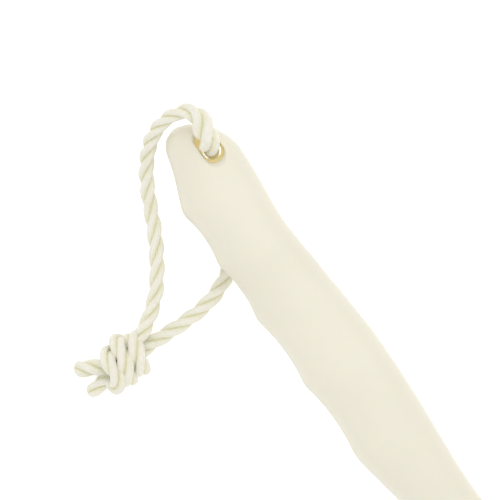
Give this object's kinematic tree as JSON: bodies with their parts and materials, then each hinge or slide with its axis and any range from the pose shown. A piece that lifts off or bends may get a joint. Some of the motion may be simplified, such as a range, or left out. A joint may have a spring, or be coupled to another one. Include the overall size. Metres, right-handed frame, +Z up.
{
  "type": "loofah back scrubber",
  "caption": "Long-handled back scrubber with a wavy moulded grip, an oval loofah pad in a tray and a knotted rope loop through the tip.",
  "frame": {"origin": "centre of the scrubber's footprint without its cord, on the surface that it lies on", "axes": "+X along the handle towards the head, +Y to the back of the grip (the loofah faces -Y), +Z up from the surface"},
  "size_m": [0.4059, 0.0844, 0.0684],
  "materials": {
    "cream_plastic": "satin, moulded",
    "white_board": "matt",
    "stainless": "bright",
    "sponge": "open cell foam",
    "loofah": "pressed natural fibre",
    "cotton_tape": "herringbone tape",
    "thread": "spun thread",
    "cord": "three-strand, slight sheen"
  },
  "bodies": {
    "scrubber": {"handle_shell_upper": "cream_plastic", "handle_shell_lower": "cream_plastic", "head_tray": "cream_plastic", "tang_screws": "stainless", "backing_board": "white_board", "foam_core": "sponge", "loofah_pad": "loofah", "edge_binding": "cotton_tape", "binding_thread": "thread"},
    "hanging_loop": {"hanging_cord": "cord", "cord_knot": "cord", "cord_tail_long": "cord", "cord_tail_short": "cord"}
  },
  "joints": [
    {"name": "loop_swing", "type": "hinge", "parent": "scrubber", "child": "hanging_loop", "pos_m": [-0.1875, 0.0164, 0.01346], "axis": [0, 0, 1], "range_deg": [-90, 20]}
  ]
}
